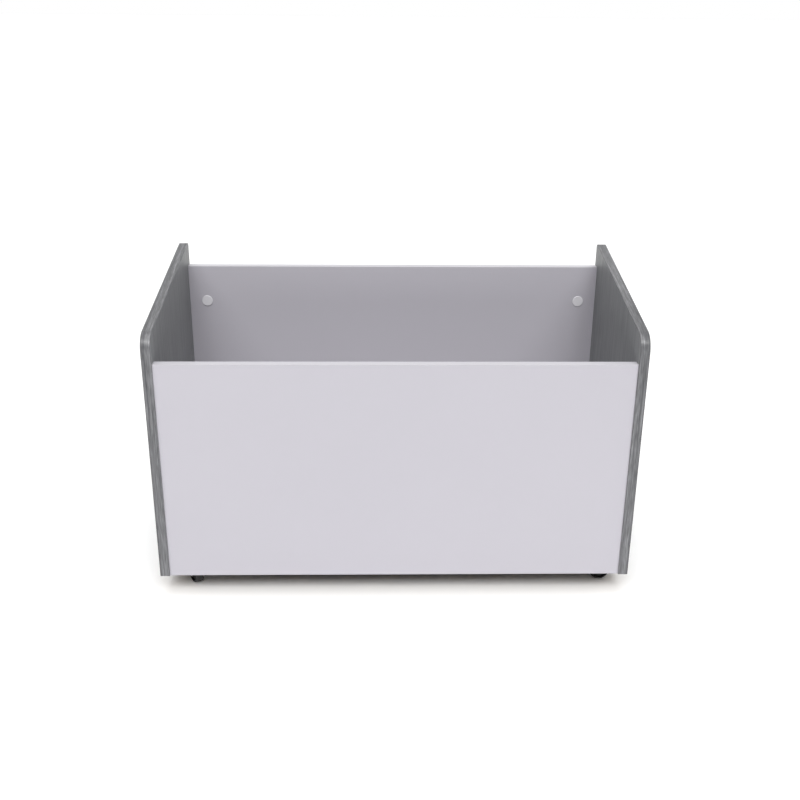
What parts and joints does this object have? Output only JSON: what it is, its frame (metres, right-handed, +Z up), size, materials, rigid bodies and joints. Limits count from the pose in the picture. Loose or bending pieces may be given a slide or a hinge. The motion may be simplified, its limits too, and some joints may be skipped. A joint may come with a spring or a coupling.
{
  "type": "wooden toy box",
  "caption": "Open-topped wooden toy box with grey, sloping side panels, white front, back and bottom boards, cam-and-dowel joints, and small swivel castors that roll.",
  "frame": {"origin": "on the floor, at the centre of the footprint", "axes": "+Z up; the front panel faces -Y; +X runs along the width, to the right as seen from the front"},
  "size_m": [0.6, 0.28, 0.3992],
  "materials": {
    "grey_laminate": "matt grey wood-grain melamine on particle board",
    "grey_edge_band": "matt grey edge banding with lengthwise grain streaks",
    "white_laminate": "smooth satin white melamine on particle board",
    "white_edge_band": "smooth satin white edge banding",
    "beech": "raw beech",
    "zinc_plated_steel": "bright zinc plate",
    "die_cast_zinc": "dull die-cast zinc alloy",
    "bearing_steel": "polished steel balls",
    "white_plastic": "moulded satin white plastic",
    "black_coated_steel": "black powder coat on pressed steel",
    "black_nylon": "moulded black nylon with a faint scuff on the tread"
  },
  "bodies": {
    "box": {"left_side_panel": "grey_laminate", "right_side_panel": "grey_laminate", "left_side_edge_band": "grey_edge_band", "right_side_edge_band": "grey_edge_band", "front_panel": "white_laminate", "front_edge_band": "white_edge_band", "back_panel": "white_laminate", "back_edge_band": "white_edge_band", "bottom_panel": "white_laminate", "wooden_dowels": "beech", "cam_bolts": "zinc_plated_steel", "cam_locks": "die_cast_zinc", "cam_cover_caps": "white_plastic", "castor_screws": "zinc_plated_steel", "front_left_castor_plate": "black_coated_steel", "front_right_castor_plate": "black_coated_steel", "rear_left_castor_plate": "black_coated_steel", "rear_right_castor_plate": "black_coated_steel", "front_left_castor_king_pin": "zinc_plated_steel", "front_right_castor_king_pin": "zinc_plated_steel", "rear_left_castor_king_pin": "zinc_plated_steel", "rear_right_castor_king_pin": "zinc_plated_steel"},
    "front_left_swivel": {"front_left_castor_fork": "black_coated_steel", "front_left_castor_axle": "zinc_plated_steel", "front_left_castor_ball_race": "bearing_steel"},
    "front_left_wheel": {"front_left_castor_wheel": "black_nylon"},
    "front_right_swivel": {"front_right_castor_fork": "black_coated_steel", "front_right_castor_axle": "zinc_plated_steel", "front_right_castor_ball_race": "bearing_steel"},
    "front_right_wheel": {"front_right_castor_wheel": "black_nylon"},
    "rear_left_swivel": {"rear_left_castor_fork": "black_coated_steel", "rear_left_castor_axle": "zinc_plated_steel", "rear_left_castor_ball_race": "bearing_steel"},
    "rear_left_wheel": {"rear_left_castor_wheel": "black_nylon"},
    "rear_right_swivel": {"rear_right_castor_fork": "black_coated_steel", "rear_right_castor_axle": "zinc_plated_steel", "rear_right_castor_ball_race": "bearing_steel"},
    "rear_right_wheel": {"rear_right_castor_wheel": "black_nylon"}
  },
  "joints": [
    {"name": "front_left_castor_swivel", "type": "hinge", "parent": "box", "child": "front_left_swivel", "pos_m": [-0.266, -0.096, 0.028], "axis": [0, 0, 1], "continuous": true},
    {"name": "front_left_castor_roll", "type": "hinge", "parent": "front_left_swivel", "child": "front_left_wheel", "pos_m": [-0.26199, -0.10173, 0.0125], "axis": [0.8192, 0.5736, 0], "continuous": true},
    {"name": "front_right_castor_swivel", "type": "hinge", "parent": "box", "child": "front_right_swivel", "pos_m": [0.266, -0.096, 0.028], "axis": [0, 0, 1], "continuous": true},
    {"name": "front_right_castor_roll", "type": "hinge", "parent": "front_right_swivel", "child": "front_right_wheel", "pos_m": [0.27298, -0.09649, 0.0125], "axis": [0.0698, 0.9976, 0], "continuous": true},
    {"name": "rear_left_castor_swivel", "type": "hinge", "parent": "box", "child": "rear_left_swivel", "pos_m": [-0.266, 0.096, 0.028], "axis": [0, 0, 1], "continuous": true},
    {"name": "rear_left_castor_roll", "type": "hinge", "parent": "rear_left_swivel", "child": "rear_left_wheel", "pos_m": [-0.25942, 0.09361, 0.0125], "axis": [0.342, 0.9397, 0], "continuous": true},
    {"name": "rear_right_castor_swivel", "type": "hinge", "parent": "box", "child": "rear_right_swivel", "pos_m": [0.266, 0.096, 0.028], "axis": [0, 0, 1], "continuous": true},
    {"name": "rear_right_castor_roll", "type": "hinge", "parent": "rear_right_swivel", "child": "rear_right_wheel", "pos_m": [0.27279, 0.09769, 0.0125], "axis": [-0.2419, 0.9703, 0], "continuous": true}
  ]
}
